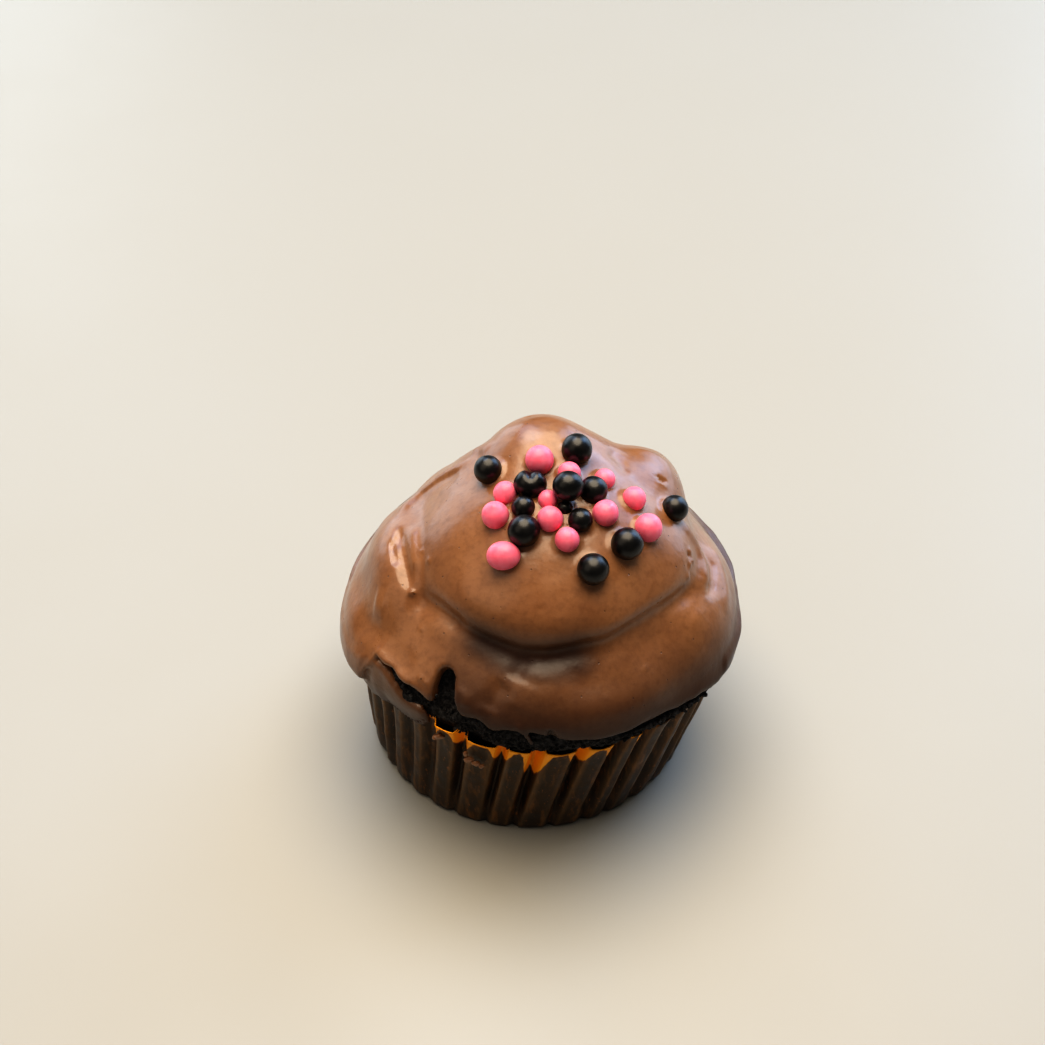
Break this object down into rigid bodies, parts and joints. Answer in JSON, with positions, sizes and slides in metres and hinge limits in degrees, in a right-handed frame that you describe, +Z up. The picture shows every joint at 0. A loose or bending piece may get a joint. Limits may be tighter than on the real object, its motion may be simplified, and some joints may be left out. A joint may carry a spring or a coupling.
{
  "type": "muffin",
  "caption": "Chocolate muffin in a pleated paper case, under a glossy coat of milk chocolate icing that runs over the case at one side, with sugar pearls on its crown.",
  "frame": {"origin": "centre of the paper case's flat foot, on the surface that the muffin stands on", "axes": "+Z up through the crown; -Y is the front, the side with most of the pearls; +X is to the right of the front, the way the case leans; the icing's tongue hangs over the case at -X"},
  "size_m": [0.0657, 0.0654, 0.0605],
  "materials": {
    "case_paper": "satin",
    "chocolate_crumb": "matte",
    "milk_chocolate_icing": "satin",
    "black_sugar": "gloss",
    "pink_sugar": "satin"
  },
  "bodies": {
    "root": {"paper_case": "case_paper", "cake": "chocolate_crumb", "icing": "milk_chocolate_icing", "pearl_black_01": "black_sugar", "pearl_black_02": "black_sugar", "pearl_black_03": "black_sugar", "pearl_black_04": "black_sugar", "pearl_black_05": "black_sugar", "pearl_black_06": "black_sugar", "pearl_black_07": "black_sugar", "pearl_black_08": "black_sugar", "pearl_black_09": "black_sugar", "pearl_black_10": "black_sugar", "pearl_black_11": "black_sugar", "pearl_black_12": "black_sugar", "pearl_pink_01": "pink_sugar", "pearl_pink_02": "pink_sugar", "pearl_pink_03": "pink_sugar", "pearl_pink_04": "pink_sugar", "pearl_pink_05": "pink_sugar", "pearl_pink_06": "pink_sugar", "pearl_pink_07": "pink_sugar", "pearl_pink_08": "pink_sugar", "pearl_pink_09": "pink_sugar", "pearl_pink_10": "pink_sugar", "pearl_pink_11": "pink_sugar", "pearl_pink_12": "pink_sugar"}
  },
  "joints": []
}
